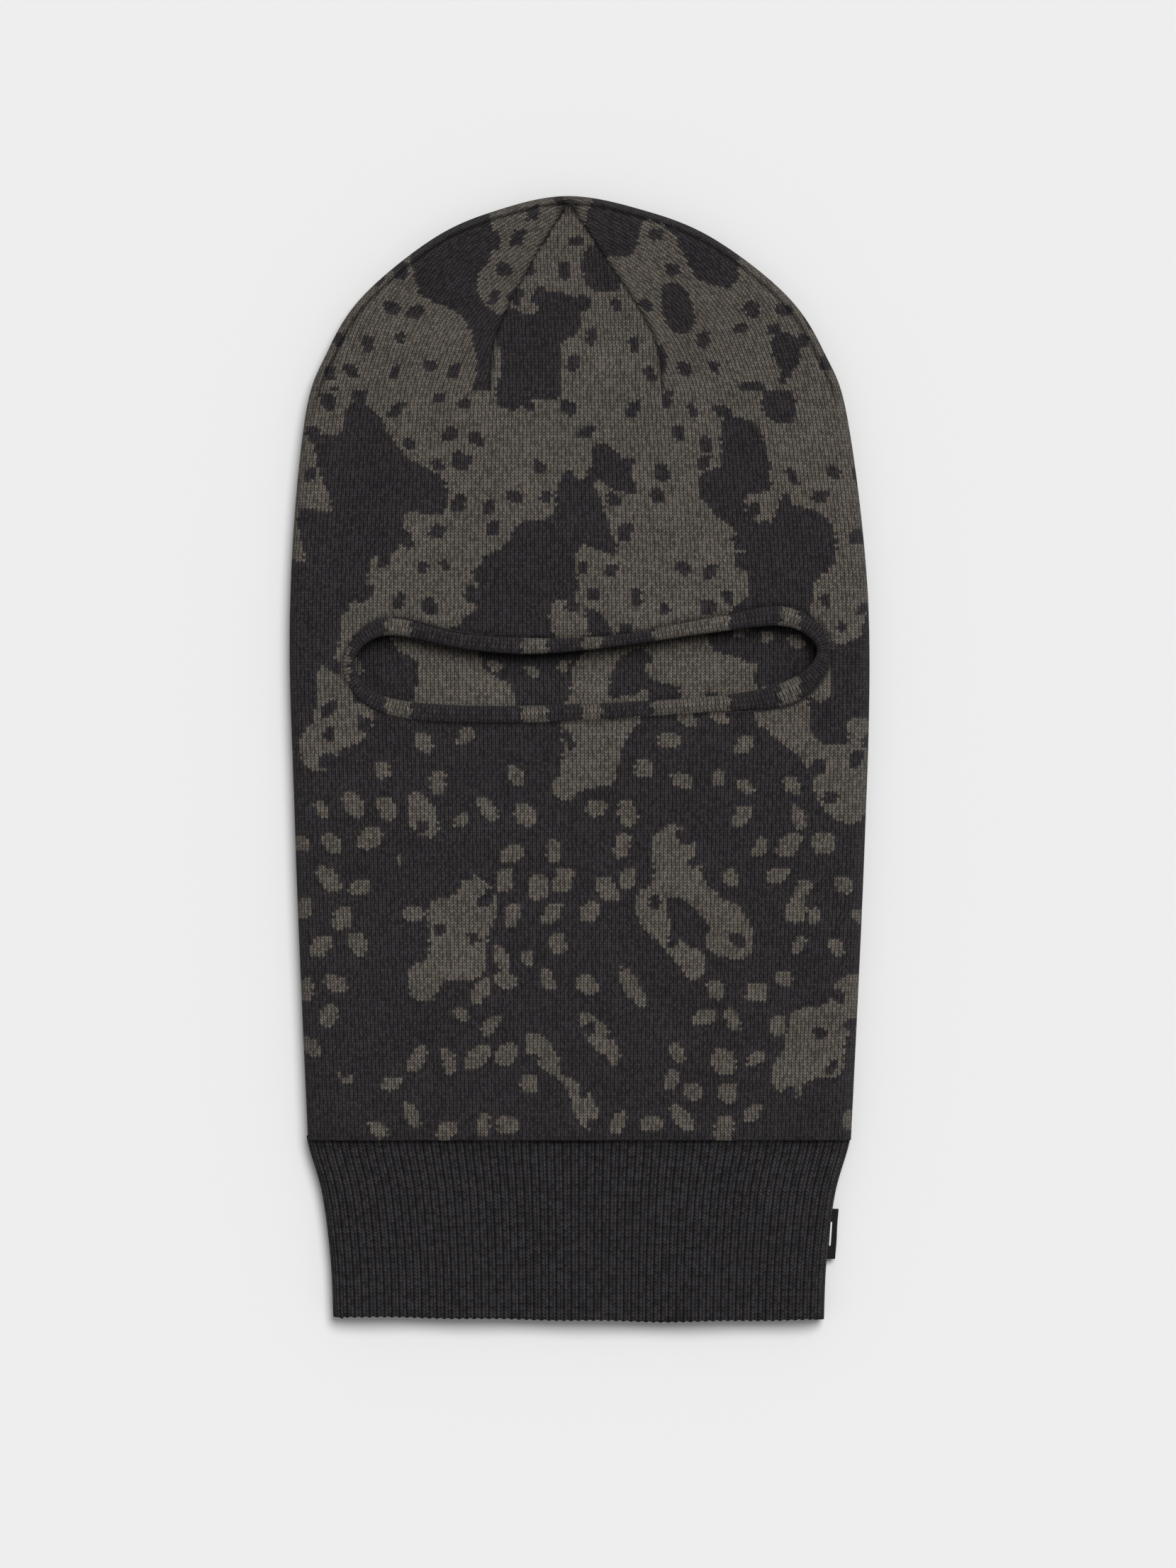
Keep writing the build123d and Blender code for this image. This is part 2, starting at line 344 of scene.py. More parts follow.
def hood_patches(inset=0.0, per_wale=2, row_step=1, low_y=SEAM_Y, high_y=None):
    """Grids of one side of the hood from low_y up to high_y, or, where that isn't given, up to
    the darts and on over the middle gore and the two side gores.

    per_wale is points per knit column and row_step is stitches per row of points. With two
    points a column, every other one climbs, so rows zigzag as the legs of the stitches do."""
    sheets = []
    columns = np.arange(0, WALES * per_wale + 1) / per_wale
    climb = LIFT * (columns % 1 == 0) * (per_wale == 2)
    top = DART_Y if high_y is None else high_y
    rows = int(round((top - low_y) / COURSE / row_step))
    row = np.arange(rows + 1)[:, None] + climb[None, :] / row_step
    row[0] = 0
    if high_y is not None:
        row[-1] = rows
    y = low_y + row * (top - low_y) / rows
    half = half_width(y)
    arc = half + HOOD_R * (math.pi / 2 - 1)
    q = (columns[None, :] / WALES - 0.5) * 2 * arc
    d = rolled(arc - np.abs(q), HOOD_R)
    x = np.sign(q) * (half - d - inset * (1 - d / HOOD_R).clip(0, 1))
    first_row = (low_y - SEAM_Y) / COURSE
    knit = np.stack([np.broadcast_to(columns, x.shape), first_row + row * row_step], -1)
    keep = np.ones((rows, len(columns) - 1), bool)
    sheets.append((x, y, d, knit, keep))
    if high_y is not None:
        return sheets
    base_row = rows * row_step
    for gore, length in GORES:
        rows = int(round(length / COURSE / row_step))
        row = np.arange(rows + 1)[:, None] + climb[None, :] / row_step
        share = np.minimum(row / rows, 1)
        q = np.broadcast_to((columns[None, :] - WALES / 2) * WALE, share.shape)
        flat_share = share.ravel()
        if gore == 0:
            a = at_share(DART[-1], flat_share)
            b = at_share(DART[1], flat_share)
            long = np.linalg.norm(b - a, axis=1).reshape(share.shape)
            t = 0.5 + q / np.maximum(long, 1e-3)
            t = t.clip(0, 1)
            mix = t.ravel()[:, None]
            plan = a * (1 - mix) + b * mix
            shown_q = (t - 0.5) * long
        else:
            a = at_share(DART[gore], flat_share)
            b = at_share(FOLD[gore], flat_share)
            span = np.linalg.norm(b - a, axis=1)
            turn = np.minimum(HOOD_R, span * 0.6)
            cloth = (span + turn * (math.pi / 2 - 1)).reshape(share.shape)
            middle = (DART_X + base_arc / 2) / 2
            t = 0.5 + (gore * q - middle) / np.maximum(cloth, 1e-3)
            t = t.clip(0, 1)
            back = rolled((1 - t) * cloth, turn.reshape(share.shape)).ravel()
            toward = (a - b) / np.maximum(span, 1e-6)[:, None]
            plan = b + toward * np.minimum(back, span)[:, None]
            shown_q = gore * (middle + (t - 0.5) * cloth)
        low_t, high_t = t <= 0, t >= 1
        keep = np.ones((rows, len(columns) - 1), bool)
        for gone in (low_t, high_t):
            keep &= ~(gone[:-1, :-1] & gone[:-1, 1:] & gone[1:, :-1] & gone[1:, 1:])
        knit = np.stack([WALES / 2 + shown_q / WALE, base_row + row * row_step], -1)
        x = plan[:, 0].reshape(share.shape)
        y = plan[:, 1].reshape(share.shape)
        sheets.append((x, y, None, knit, keep))
    return sheets


def gather(sheets, side, inset, tone_of, per_wale, flip, start=0, cut_slot=False):
    """Points, quads, knit places, tones and painted shades of some grids, and the next point's
    number.

    side is 1 for the front and -1 for the back, and cut_slot leaves the eye slot open."""
    all_points, all_quads, all_knit, all_tone, all_shade = [], [], [], [], []
    for x, y, known, knit, keep in sheets:
        rows, columns = x.shape
        plan = np.column_stack([x.ravel(), y.ravel()])
        known = None if known is None else known.ravel()
        z, shade = finish_height(plan, known, side, inset)
        points = np.column_stack([plan[:, 0] + lean(*plan.T), plan[:, 1], MID_Z + side * z])
        quads = grid_quads(rows, columns, flip)
        first = np.arange(columns - 1) // per_wale * per_wale
        centre = np.minimum(first + per_wale // 2, columns - 1)
        cx = (x[:-1][:, centre] + x[1:][:, centre]) / 2
        cy = (y[:-1][:, centre] + y[1:][:, centre]) / 2
        tone = tone_of(cx.ravel(), cy.ravel())
        wanted = keep.ravel().copy()
        if cut_slot:
            middle = plan[quads].mean(1)
            box = (np.abs(middle[:, 0]) < 100) & (middle[:, 1] > 5) & (middle[:, 1] < 62)
            at = np.flatnonzero(box)
            deep = inside(middle[at], SEAM_LOOP) & (distance_to(middle[at], SEAM_LOOP) > 2.4)
            wanted[at[deep]] = False
        quads, tone = quads[wanted], tone[wanted]
        used, index = np.unique(quads, return_inverse=True)
        all_points.append(points[used])
        all_knit.append(knit.reshape(-1, 2)[used])
        all_quads.append(index.reshape(-1, 4) + start)
        all_tone.append(tone)
        all_shade.append(shade[used])
        start += len(used)
    return (np.vstack(all_points), np.vstack(all_quads), np.vstack(all_knit),
            np.concatenate(all_tone), np.concatenate(all_shade), start)


def join(*parts):
    points, quads, knit, tone, shade = [np.concatenate([p[k] for p in parts]) for k in range(5)]
    return dict(points=points, quads=quads, knit=knit, tone=tone, shade=shade)


# ---- Materials -------------------------------------------------------------------
PALE = (0.085, 0.075, 0.0645, 1)
DARK = (0.0250, 0.0218, 0.0241, 1)
RIB_DARK = (0.0197, 0.0180, 0.0199, 1)


class Graph:
    """Short names for building a material's nodes."""

    def __init__(self, name):
        self.material = bpy.data.materials.new(name)
        self.material.use_nodes = True
        self.tree = self.material.node_tree
        self.tree.nodes.clear()
        out = self.tree.nodes.new("ShaderNodeOutputMaterial")
        self.shader = self.tree.nodes.new("ShaderNodeBsdfPrincipled")
        self.tree.links.new(self.shader.outputs[0], out.inputs[0])

    def put(self, socket, value):
        if isinstance(value, bpy.types.NodeSocket):
            self.tree.links.new(value, socket)
        else:
            socket.default_value = value

    def math(self, operation, a, b=0.0, c=0.0):
        node = self.tree.nodes.new("ShaderNodeMath")
        node.operation = operation
        for socket, value in zip(node.inputs, (a, b, c)):
            self.put(socket, value)
        return node.outputs[0]

    def mix(self, share, a, b):
        node = self.tree.nodes.new("ShaderNodeMix")
        node.data_type = "RGBA"
        self.put(node.inputs["Factor"], share)
        self.put(node.inputs[6], a)      # the two colours' sockets
        self.put(node.inputs[7], b)
        return node.outputs[2]

    def scale(self, colour, amount):
        node = self.tree.nodes.new("ShaderNodeVectorMath")
        node.operation = "SCALE"
        self.put(node.inputs[0], colour[:3] if isinstance(colour, tuple) else colour)
        self.put(node.inputs["Scale"], amount)
        return node.outputs[0]

    def times(self, a, b):
        node = self.tree.nodes.new("ShaderNodeVectorMath")
        node.operation = "MULTIPLY"
        self.put(node.inputs[0], a[:3] if isinstance(a, tuple) else a)
        self.put(node.inputs[1], b)
        return node.outputs[0]

    def chance(self, column, row):
        """Two even random numbers for each whole column and row."""
        cell = self.tree.nodes.new("ShaderNodeCombineXYZ")
        self.put(cell.inputs[0], column)
        self.put(cell.inputs[1], row)
        node = self.tree.nodes.new("ShaderNodeTexWhiteNoise")
        self.tree.links.new(cell.outputs[0], node.inputs["Vector"])
        split = self.tree.nodes.new("ShaderNodeSeparateColor")
        self.tree.links.new(node.outputs["Color"], split.inputs[0])
        return node.outputs["Value"], split.outputs[1]

    def hump(self, value):
        """0 where value is 0 or 1, rising to 1 half way between."""
        share = self.math("MULTIPLY", value, self.math("SUBTRACT", 1.0, value))
        return self.math("MULTIPLY", share, 4.0)

    def noise(self, vector, scale):
        node = self.tree.nodes.new("ShaderNodeTexNoise")
        node.inputs["Scale"].default_value = scale
        node.inputs["Detail"].default_value = 2.0
        self.put(node.inputs["Vector"], vector)
        return node.outputs["Fac"]

    def knit_place(self):
        node = self.tree.nodes.new("ShaderNodeUVMap")
        node.uv_map = "knit"
        split = self.tree.nodes.new("ShaderNodeSeparateXYZ")
        self.tree.links.new(node.outputs[0], split.inputs[0])
        return node.outputs[0], split.outputs[0], split.outputs[1]

    def held(self, name):
        node = self.tree.nodes.new("ShaderNodeAttribute")
        node.attribute_name = name
        return node.outputs["Fac"]

    def bump(self, height, strength, distance):
        node = self.tree.nodes.new("ShaderNodeBump")
        node.inputs["Strength"].default_value = strength
        node.inputs["Distance"].default_value = distance
        self.tree.links.new(height, node.inputs["Height"])
        self.tree.links.new(node.outputs[0], self.shader.inputs["Normal"])

    def yarn_finish(self, roughness=0.95, sheen=0.03):
        self.shader.inputs["Roughness"].default_value = roughness
        self.shader.inputs["Specular IOR Level"].default_value = 0.05
        self.shader.inputs["Sheen Weight"].default_value = sheen
        self.shader.inputs["Sheen Roughness"].default_value = 0.6
        return self.material


def strand_and_legs(graph, across, course, lift):
    """Profiles of a plain V stitch, and its row: across is 0 mid-stitch and 1 at its sides."""
    risen = graph.math("SUBTRACT", course, graph.math("MULTIPLY", across, lift))
    climbed = graph.math("FRACT", risen)
    return graph.hump(climbed), graph.hump(across), graph.math("FLOOR", risen)


def middle_out(graph, place):
    """0 in the middle of each whole step and 1 at its ends."""
    share = graph.math("FRACT", place)
    return graph.math("ABSOLUTE", graph.math("MULTIPLY_ADD", share, 2.0, -1.0))


def heather(graph, wale, row, colour, shade, uneven):
    """Colour of mixed yarn: every half stitch a little lighter or darker, warmer or cooler."""
    each, second = graph.chance(graph.math("FLOOR", graph.math("MULTIPLY", wale, 2.0)), row)
    shade = graph.math("MULTIPLY", shade, graph.math("MULTIPLY_ADD", each, 2 * uneven, 1 - uneven))
    tint = graph.mix(second, (0.95, 1.0, 1.045, 1), (1.06, 1.0, 0.95, 1))
    return graph.scale(graph.times(colour, tint), shade)


def knit_material(name, pale, dark):
    """Plain stitches in two yarns: V after V up each column, with painted shade in the gaps
    between them.
    """
    gap, gain = 0.06, 2.0         # painted shade between the stitches and painted light on top of them
    g = Graph(name)
    place, wale, course = g.knit_place()
    across = middle_out(g, wale)
    strand, leg, row = strand_and_legs(g, across, course, LIFT)
    strand = g.math("MULTIPLY_ADD", g.math("POWER", strand, 0.8), 0.8, 0.2)
    sides = g.math("MULTIPLY_ADD", g.math("POWER", across, 3.0), -0.85, 1.0)
    legs = g.math("MULTIPLY", sides, g.math("MULTIPLY_ADD", leg, 0.55, 0.45))
    height = g.math("MULTIPLY", strand, legs)
    shade = g.math("MULTIPLY_ADD", height, gain - gap, gap)
    shade = g.math("MULTIPLY", shade, g.math("MULTIPLY_ADD", g.noise(place, 0.07), 0.4, 0.8))
    # painted shade in seam creases and below the slot's upper lip, and painted light inside the
    # slot, from each point's shade
    shade = g.math("MULTIPLY", shade, g.held("shade"))
    colour = g.mix(g.held("tone"), dark, pale)
    g.put(g.shader.inputs["Base Color"], heather(g, wale, row, colour, shade, 0.42))
    g.bump(height, 0.8, 0.0005)
    return g.yarn_finish()


def rib_material(name, dark):
    """A 1x1 rib: each whole number across is a purl valley, with a V chain between two.

    The chain's left legs lie as short slanted strokes and its right legs stand nearly upright."""
    g = Graph(name)
    place, rib, course = g.knit_place()
    inside_rib = g.math("FRACT", rib)
    height = None
    for middle, half, slant, plain in ((0.31, 0.27, 1.6, 0.2), (0.76, 0.18, -0.8, 0.4)):
        off = g.math("MULTIPLY_ADD", inside_rib, 1 / half, -middle / half)
        hump = g.math("MAXIMUM", g.math("SUBTRACT", 1.0, g.math("MULTIPLY", off, off)), 0.0)
        risen = g.math("ADD", course, g.math("MULTIPLY", inside_rib, slant))
        climbed = g.math("FRACT", risen)
        strand = g.hump(climbed)
        leg = g.math("MULTIPLY", hump, g.math("MULTIPLY_ADD", strand, 1 - plain, plain))
        height = leg if height is None else g.math("ADD", height, leg)
    # painted shade in the purl valleys and between the legs, lighter on the legs
    shade = g.math("MULTIPLY_ADD", height, 1.8, 0.3)
    # with the painted shadow where the rib comes out from under the hood, from each point's shade
    shade = g.math("MULTIPLY", shade, g.held("shade"))
    shade = g.math("MULTIPLY", shade, g.math("MULTIPLY_ADD", g.noise(place, 0.45), 0.6, 0.7))
    row = g.math("FLOOR", course)
    g.put(g.shader.inputs["Base Color"], heather(g, rib, row, dark, shade, 0.36))
    g.bump(height, 0.8, 0.0006)
    return g.yarn_finish()


def plain_material(name, colour):
    """Plied yarn: fine ridges across its length."""
    g = Graph(name)
    place, _, along = g.knit_place()
    ridge = g.math("SINE", g.math("MULTIPLY", along, 6.0))
    # painted shade in the grooves between the plies, lighter on their ridges
    shade = g.math("MULTIPLY_ADD", ridge, 0.35, 1.0)
    shade = g.math("MULTIPLY", shade, g.math("MULTIPLY_ADD", g.noise(place, 3.0), 0.4, 0.8))
    g.put(g.shader.inputs["Base Color"], g.scale(colour, shade))
    g.bump(ridge, 0.4, 0.0002)
    return g.yarn_finish(0.85, 0.05)


JACQUARD = knit_material("jacquard_knit", PALE, DARK)
RIB = rib_material("rib_knit", RIB_DARK)
YARN = plain_material("dark_yarn", DARK)


def bend(obj):
    """The cloth that crosses the line between hood and neck: its placing is baked into its points,
    and nothing here bends it.
    """
    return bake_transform(obj)


def back_tone(x, y):
    """The front's pattern the other way round, as no part of the real back can be seen."""
    return front_tone(-x, y)


def hidden_tone(x, y):
    """The other yarn at each stitch, as the back's inside shows. The front's is never seen."""
    return 1 - back_tone(x, y)


outer = gather(hood_patches(), 1, 0.0, front_tone, 2, False, cut_slot=True)
inner = gather(hood_patches(WALL, 1, 4), 1, WALL, hidden_tone, 1, True,
               start=outer[5], cut_slot=True)
hood_front = piece("hood_front", material=JACQUARD, slot_name="patterned_knit",
                   **join(outer, inner))
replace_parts(hood_front, "hood_front_panel")

outer = gather(hood_patches(0.0, 1), -1, 0.0, back_tone, 1, True)
below = gather(hood_patches(WALL, 1, 4, SEAM_Y, BAND_LOW), -1, WALL, hidden_tone, 1, False,
               start=outer[5])
seen = gather(hood_patches(WALL, 2, 1, BAND_LOW, BAND_HIGH), -1, WALL, hidden_tone, 2, False,
              start=below[5])
above = gather(hood_patches(WALL, 1, 4, BAND_HIGH), -1, WALL, hidden_tone, 1, False,
               start=seen[5])
hood_back = piece("hood_back", material=JACQUARD, slot_name="patterned_knit",
                  **join(outer, below, seen, above))
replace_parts(hood_back, "hood_back_panel")


# ---- Rib neck --------------------------------------------------------------------
def rib_side_patch(side, inset, columns, rows):
    """One layer of the rib, from fold to fold and from under the hood to the hem."""
    across = np.linspace(0, RIBS, columns)
    share = np.linspace(0, 1, rows)
    row, col = np.meshgrid(share, across, indexing="ij")
    wave = 0.35 * np.sin(col * 0.17) + 0.2 * np.sin(col * 0.43 + 1)
    wave -= 1.6 * np.exp(-(col / 21) ** 4)       # the hem rises towards its left corner
    scallop = 0.25 * np.cos(col * 2 * math.pi)
    y = RIB_TOP - row * (RIB_TOP - HEM_Y - HEM_ROOM + wave + scallop * (row > 0.98))
    half = rib_half_width(y)
    arc = half + RIB_R * (math.pi / 2 - 1)
    q = (col / RIBS - 0.5) * 2 * arc
    e = np.maximum(arc - np.abs(q), 0)
    d = rolled(e, RIB_R)
    turn = np.clip(e / RIB_R, 0, math.pi / 2)
    ridge = 0.20 * -np.cos(col * 2 * math.pi) * np.clip(e / 2, 0, 1)
    ridge *= 1 if inset == 0 else -0.6
    x = np.sign(q) * (half - d - (inset - ridge) * np.cos(turn))
    z = (RIB_R - inset + ridge) * np.sin(turn)
    flat = np.clip((e - 8) / 12, 0, 1)
    z += flat * (0.5 * np.sin(col * 0.42 + y / 15) + 0.3 * np.sin(y / 7)) * (side > 0)
    hem = np.clip((row - 0.965) / 0.035, 0, 1)
    z -= hem ** 2 * (0.55 if inset == 0 else -0.55) * np.sin(turn)
    under = np.clip(1 - (RIB_TOP - y) / 4, 0, 1)
    z -= under * 0.5 * (inset == 0)
    points = np.column_stack([x.ravel(), y.ravel(), (RIB_MID + side * z).ravel()])
    if side < 0 or inset > 0:
        points[:, 2] = np.maximum(points[:, 2], 0.0)
    knit = np.column_stack([col.ravel(), (y.ravel() - HEM_Y) / RIB_COURSE])
    # painted shadow on the rib's top, where it comes out from under the hood's hem
    shade = 1 - 0.65 * np.clip(1 - (RIB_TOP - y) / 5.5, 0, 1)
    return points, knit, shade.ravel()


def rib_half(side):
    columns, rows = RIBS * RIB_STEPS + 1, 54
    a, knit_a, shade_a = rib_side_patch(side, 0.0, columns, rows)
    b, knit_b, shade_b = rib_side_patch(side, WALL, columns, rows)
    quads = [grid_quads(rows, columns, side > 0), grid_quads(rows, columns, side < 0, len(a))]
    c, r = np.arange(columns - 1), np.arange(rows - 1) * columns
    last = (rows - 1) * columns
    for start, step, turned in ((c, 1, False), (c + last, 1, True),
                                (r, columns, True), (r + columns - 1, columns, False)):
        rim = np.column_stack([start, start + step, start + step + len(a), start + len(a)])
        quads.append(rim[:, ::-1] if turned == (side > 0) else rim)
    quads = np.vstack(quads)
    name = "rib_front" if side > 0 else "rib_back"
    obj = piece(name, np.vstack([a, b]), quads, np.vstack([knit_a, knit_b]),
                np.zeros(len(quads)), RIB, "dark_rib", shade=np.concatenate([shade_a, shade_b]))
    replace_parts(obj, "collar_" + name)
    return bend(obj)


bend(hood_front)
bend(hood_back)
rib_front = rib_half(1)
rib_back = rib_half(-1)


# ---- Eye slot --------------------------------------------------------------------
def closed_tube(name, loops, knit, tone, material, slot_name, has_ends=False):
    """A tube from rings of points: loops is (stations, ring, 3). It closes on itself unless it
    has ends."""
    stations, ring = loops.shape[:2]
    last = stations - 1 if has_ends else stations
    s, r = np.meshgrid(np.arange(last), np.arange(ring), indexing="ij")
    s2, r2 = (s + 1) % stations, (r + 1) % ring
    quads = np.stack([s * ring + r, s2 * ring + r, s2 * ring + r2, s * ring + r2], -1)
    quads = quads.reshape(-1, 4)
    return piece(name, loops.reshape(-1, 3), quads, knit.reshape(-1, 2), tone(quads),
                 material, slot_name)


# Section of the binding: share of the way from its seam to its open edge, and height.
ROLL = np.array([(-0.01, 10.9), (0.02, 11.6), (0.12, 12.3), (0.34, 12.8), (0.60, 12.85),
                 (0.82, 12.5), (0.96, 11.7), (1.0, 10.8), (0.96, 9.9), (0.82, 9.3),
                 (0.55, 9.0), (0.25, 9.1), (0.05, 9.7)])
roll = curve_through(ROLL, 30, closed=True)
count = len(SEAM_LOOP)
open_near = OPEN_LOOP[((SEAM_LOOP[:, None] - OPEN_LOOP[None]) ** 2).sum(2).argmin(1)]
for _ in range(12):
    open_near = (np.roll(open_near, 1, 0) + open_near * 2 + np.roll(open_near, -1, 0)) / 4
station = np.arange(count)
wander = 0.21 * np.sin(station * 0.09) + 0.15 * np.sin(station * 0.23 + 2)
lip = SEAM_LOOP[:, None] + (open_near - SEAM_LOOP)[:, None] * roll[None, :, :1]
lip_z = roll[None, :, 1] + wander[:, None] * (roll[None, :, 1] > 11)
lip = np.concatenate([lip, np.broadcast_to(lip_z, lip.shape[:2])[..., None]], -1)
turns = np.arange(len(roll)) * 0.72
lip_knit = np.stack(np.broadcast_arrays(station[:, None] * 0.53, turns[None, :]), -1)


def lip_tone(quads):
    """Pale patches along the roll, slanting a little across it."""
    at = lip.reshape(-1, 3)[quads].mean(1)
    slant = at[:, 0] + 0.8 * np.sin(at[:, 1] * 1.7)
    return (np.sin(slant / 5.2 + 1.8 * np.sin(slant / 13)) > 0.45).astype(np.float32)


binding = closed_tube("eye_binding_roll", lip, lip_knit, lip_tone, JACQUARD, "patterned_knit")
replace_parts(binding, "eye_binding")
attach(binding, "hood")


def zeros(quads):
    return np.zeros(len(quads), np.float32)


def cord_loop(line, radius, ring=8):
    """Rings round a closed line of points, swelling and shrinking like a yarn chain."""
    ahead = np.roll(line, -1, 0) - np.roll(line, 1, 0)
    ahead /= np.linalg.norm(ahead, axis=1)[:, None]
    out = np.column_stack([ahead[:, 1], -ahead[:, 0], np.zeros(len(line))])
    up = np.cross(out, ahead)
    angle = np.arange(ring) * 2 * math.pi / ring
    size = radius * (1 + 0.35 * np.sin(np.arange(len(line)) * 0.9))
    angle = angle[None, :, None]
    rings = np.cos(angle) * out[:, None] + np.sin(angle) * up[:, None]
    return line[:, None] + rings * size[:, None, None]


CHAIN_POINTS = 700
chain_line = curve_through(SLOT_SEAM, CHAIN_POINTS, closed=True)
away = np.roll(chain_line, -1, 0) - np.roll(chain_line, 1, 0)
away /= np.linalg.norm(away, axis=1)[:, None]
chain_line = chain_line + np.column_stack([-away[:, 1], away[:, 0]]) * 0.5
chain_line = np.column_stack([chain_line, np.full(CHAIN_POINTS, 11.0)])
rings = cord_loop(chain_line, 0.34)
chain_knit = np.stack(np.broadcast_arrays(np.arange(CHAIN_POINTS)[:, None] * 0.5,
                                          np.arange(rings.shape[1])[None, :]), -1)
chain = closed_tube("binding_chain", rings, chain_knit, zeros, YARN, "dark_yarn")
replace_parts(chain, "eye_binding_seam")
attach(chain, "hood")


# ---- Seam allowances inside ---------------------------------------------------------
def tape(name, line, wide, thick, up, node, closed=False):
    """An overlocked allowance that stands for a node: a flat tape with rippled edges."""
    line = np.asarray(line, float)
    ahead = np.gradient(line, axis=0)
    ahead /= np.linalg.norm(ahead, axis=1)[:, None]
    up = np.broadcast_to(np.asarray(up, float), line.shape)
    out = np.cross(ahead, up)
    out /= np.maximum(np.linalg.norm(out, axis=1), 1e-6)[:, None]
    angle = np.arange(12) * 2 * math.pi / 12
    ripple = 1 + 0.12 * np.sin(np.arange(len(line)) * 1.9)
    side_way = np.sign(np.cos(angle)) * np.abs(np.cos(angle)) ** 0.6 * wide / 2
    up_way = np.sign(np.sin(angle)) * np.abs(np.sin(angle)) ** 0.6 * thick / 2
    rings = (line[:, None] + out[:, None] * (side_way[None, :] * ripple[:, None])[..., None]
             + up[:, None] * up_way[None, :, None])
    knit = np.stack(np.meshgrid(np.arange(len(line)), np.arange(12), indexing="ij"), -1)
    obj = closed_tube(name, rings, knit, zeros, YARN, "dark_yarn", has_ends=not closed)
    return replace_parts(obj, node)


for side, word in ((-1, "left"), (1, "right")):
    dart = curve_through(dart_side[:-1] * [side, 1], 60)
    for up, layer in ((1, "front"), (-1, "back")):
        z = MID_Z + up * (HOOD_R - WALL - 0.9)
        line = np.column_stack([dart, np.full(60, z)])
        line[:, 2] -= up * 1.2 * np.clip((line[:, 1] - 180) / 12, 0, 1)
        node = f"crown_seam_{layer}_{word}"
        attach(tape(node + "_tape", line, 4.6, 1.1, (0, 0, 1), node), "hood")
    edge = right_side[right_side[:, 1] > SEAM_Y + 6]
    edge = curve_through(edge[::12], 220)
    tangent = np.gradient(edge, axis=0)
    tangent /= np.linalg.norm(tangent, axis=1)[:, None]
    inward = np.column_stack([tangent[:, 1], -tangent[:, 0]])
    line = edge + inward * 3.4
    line = line[line[:, 0] > 4]
    line = np.column_stack([line * [side, 1], np.full(len(line), MID_Z)])
    away = np.gradient(line[:, :2], axis=0)
    away /= np.linalg.norm(away, axis=1)[:, None]
    facing = np.column_stack([away[:, 1], -away[:, 0], np.zeros(len(line))])
    node = f"side_seam_{word}"
    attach(tape(node + "_tape", line, 5.0, 1.1, facing, node), "hood")
    y = np.linspace(SEAM_Y - 2, HEM_Y + 1.5, 50)
    x = side * (rib_half_width(y) - WALL - 1.0)
    line = np.column_stack([x, y, np.full(50, RIB_MID)])
    node = f"collar_side_seam_{word}"
    bend(tape(node + "_tape", line, 3.4, 1.0, (1, 0, 0), node))

ring_x, ring_z = half_width(SEAM_Y) - 3.6, HOOD_R - 3.2
straight = np.linspace(-ring_x + 3, ring_x - 3, 120)
arc = np.linspace(math.pi / 2, -math.pi / 2, 10)[1:-1]
loop = ([(x, ring_z) for x in straight]
        + [(ring_x - 3 + 3 * math.cos(a), ring_z * math.sin(a)) for a in arc]
        + [(x, -ring_z) for x in straight[::-1]]
        + [(-ring_x + 3 - 3 * math.cos(a), -ring_z * math.sin(a)) for a in arc])
loop = np.array([(x, SEAM_Y + 2.5, MID_Z + z) for x, z in loop])
seam_ring = tape("collar_seam_tape", loop, 4.4, 0.9, (0, 0, 1), "collar_seam", closed=True)
bend(seam_ring)

# ---- Tip tack ---------------------------------------------------------------------
theta, phi = np.meshgrid(np.linspace(0, 2 * math.pi, 33)[:-1],
                         np.linspace(0.02, math.pi - 0.02, 14), indexing="ij")
lump = 1 + 0.2 * np.sin(theta * 6 + phi * 3)
knot = np.stack([3.6 * lump * np.sin(phi) * np.cos(theta) - 1.6,
                 APEX_Y - 2.6 + 2.0 * lump * np.sin(phi) * np.sin(theta),
                 MID_Z + 0.4 + 3.4 * np.cos(phi)], -1)
knot_knit = np.stack([theta * 3, phi * 4], -1)
tack = closed_tube("tip_tack", knot, knot_knit, zeros, YARN, "dark_yarn")
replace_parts(tack, "crown_tip_tack")
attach(tack, "hood")


# ---- Labels -----------------------------------------------------------------------
def label(name, place, long, wide, thick, material, slot_name, node, body, droop=0.0):
    """A thin ribbon in one layer, not folded: long along its own Y, wide along X,
    sagging by droop at its edge.
    """
    rows, columns = 24, 14
    v, u = np.meshgrid(np.linspace(-0.5, 0.5, rows), np.linspace(0, 1, columns), indexing="ij")
    sag = -droop * u ** 2 + 0.12 * np.sin(v * 9 + u * 3) * u
    top = np.stack([u * wide, v * long, sag + thick / 2], -1)
    low = top - [0, 0, thick]
    points = np.vstack([top.reshape(-1, 3), low.reshape(-1, 3)])
    points = np.array([place @ Vector(p) for p in points])
    edge = []
    total = rows * columns
    for c in range(columns - 1):
        edge.append((c + 1, c, c + total, c + 1 + total))
        end = (rows - 1) * columns + c
        edge.append((end, end + 1, end + 1 + total, end + total))
    for r in range(rows - 1):
        near = r * columns
        edge.append((near, near + columns, near + columns + total, near + total))
        far = near + columns - 1
        edge.append((far + columns, far, far + total, far + columns + total))
    quads = np.vstack([grid_quads(rows, columns), grid_quads(rows, columns, True, total), edge])
    knit = np.column_stack([np.tile(u.ravel() * wide, 2), np.tile(v.ravel() * long, 2)])
    obj = piece(name, points, quads, knit, np.zeros(len(quads)), material, slot_name, smooth=False)
    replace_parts(obj, node)
    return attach(obj, body)


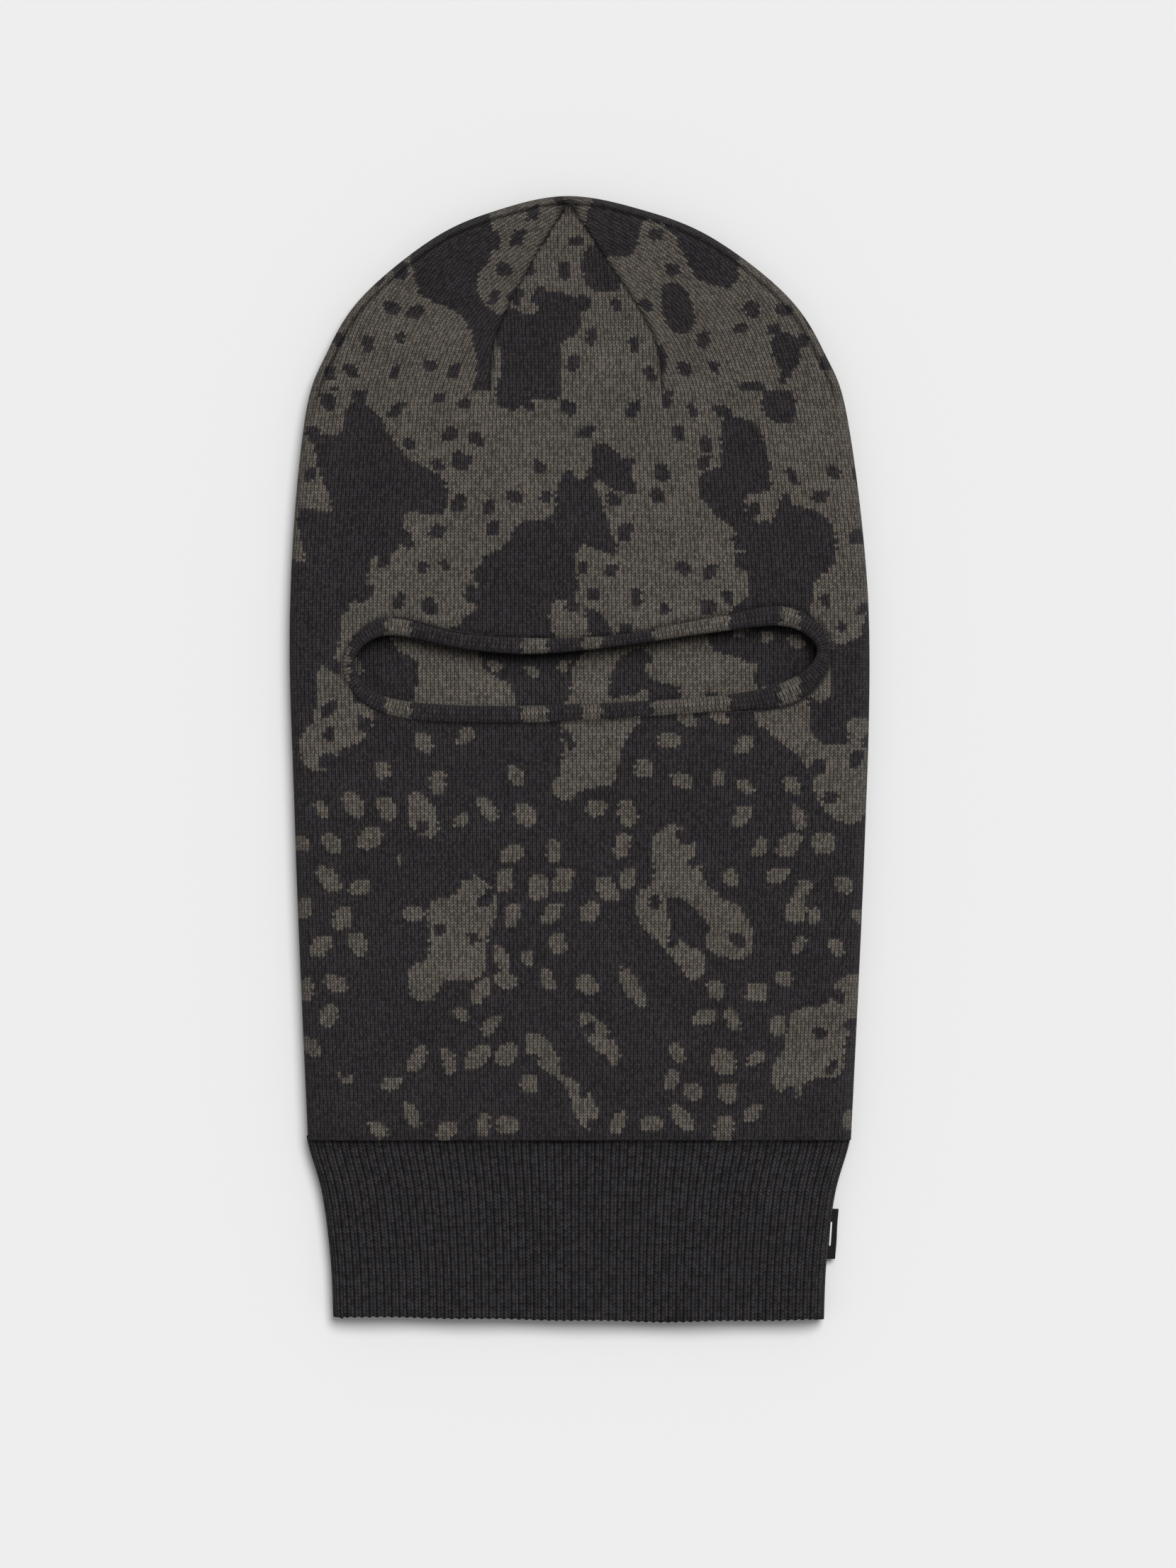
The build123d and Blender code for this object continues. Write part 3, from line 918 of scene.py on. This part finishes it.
def label_material(name, colour, stripe):
    """Satin-woven ribbon: fine ridges, and a plain pale stripe if stripe gives its middle and
    half width across, then its middle and half length along."""
    g = Graph(name)
    _, u, v = g.knit_place()
    weave = g.math("SINE", g.math("MULTIPLY", g.math("ADD", u, v), 22.0))
    # painted shade in the weave's grooves, lighter on its ridges
    shade = g.math("MULTIPLY_ADD", weave, 0.12, 1.0)
    shown = colour
    if stripe:
        near = []
        for place, middle, half in ((u, *stripe[:2]), (v, *stripe[2:])):
            off = g.math("ABSOLUTE", g.math("SUBTRACT", place, middle))
            near.append(g.math("LESS_THAN", off, half))
        shown = g.mix(g.math("MULTIPLY", *near), colour, (0.75, 0.75, 0.74, 1))
    g.put(g.shader.inputs["Base Color"], g.scale(shown, shade))
    g.bump(weave, 0.3, 0.0001)
    return g.yarn_finish(0.6, 0.0)


TAB_BLACK = label_material("tab_ribbon", (0.012, 0.012, 0.013, 1), (1.3, 0.32, 0.0, 4.3))
CARE_WHITE = label_material("care_ribbon", (0.72, 0.71, 0.68, 1), None)
tab_low, tab_high = (v * 1000 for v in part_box("tab_label"))
tab_place = (Matrix.Translation((tab_low.x - 0.6, (tab_low.y + tab_high.y) / 2 + 0.8, RIB_MID))
             @ Matrix.Rotation(math.radians(-3.7), 4, "Z")
             @ Matrix.Rotation(math.radians(28), 4, "Y"))
label("side_tab", tab_place, 18.3, 4.2, 0.8, TAB_BLACK, "woven_label", "tab_label", "tab", 0.5)
care_low, care_high = (v * 1000 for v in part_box("care_label"))
care_place = Matrix.Translation((care_low.x, (care_low.y + care_high.y) / 2, care_low.z + 0.3))
label("care_ribbon", care_place, 22, 32, 0.5, CARE_WHITE, "pale_label", "care_label", "hood")

# ---- Floor, light and camera -----------------------------------------------------------
bpy.ops.mesh.primitive_plane_add(size=12, location=(0, 0, 0))
floor = bpy.context.object
floor.name = "floor"
paper = Graph("paper")
paper.shader.inputs["Base Color"].default_value = (0.8, 0.8, 0.8, 1)
paper.shader.inputs["Roughness"].default_value = 1.0
paper.shader.inputs["Specular IOR Level"].default_value = 0.0
floor.data.materials.append(paper.material)

world = bpy.data.worlds.new("studio")
bpy.context.scene.world = world
world.use_nodes = True
world.node_tree.nodes["Background"].inputs["Color"].default_value = (1, 1, 1, 1)
world.node_tree.nodes["Background"].inputs["Strength"].default_value = 0.36

sun_data = bpy.data.lights.new("window", "SUN")
sun_data.energy = 2.5
sun_data.angle = math.radians(32)
sun = bpy.data.objects.new("window", sun_data)
sun.rotation_euler = Vector((-0.26, -0.44, -1.0)).to_track_quat("-Z", "Y").to_euler()
bpy.context.scene.collection.objects.link(sun)

VIEW_HIGH = 0.5718                # height of the picture on the floor, in metres
CAMERA_HIGH = 3.0
SENSOR = 36
camera_data = bpy.data.cameras.new("camera")
camera_data.sensor_width = SENSOR
camera_data.lens = SENSOR * CAMERA_HIGH / VIEW_HIGH
camera = bpy.data.objects.new("camera", camera_data)
camera.location = (0.0034, -0.0090, CAMERA_HIGH)
bpy.context.scene.collection.objects.link(camera)
bpy.context.scene.camera = camera
bpy.context.scene.view_settings.view_transform = "Standard"
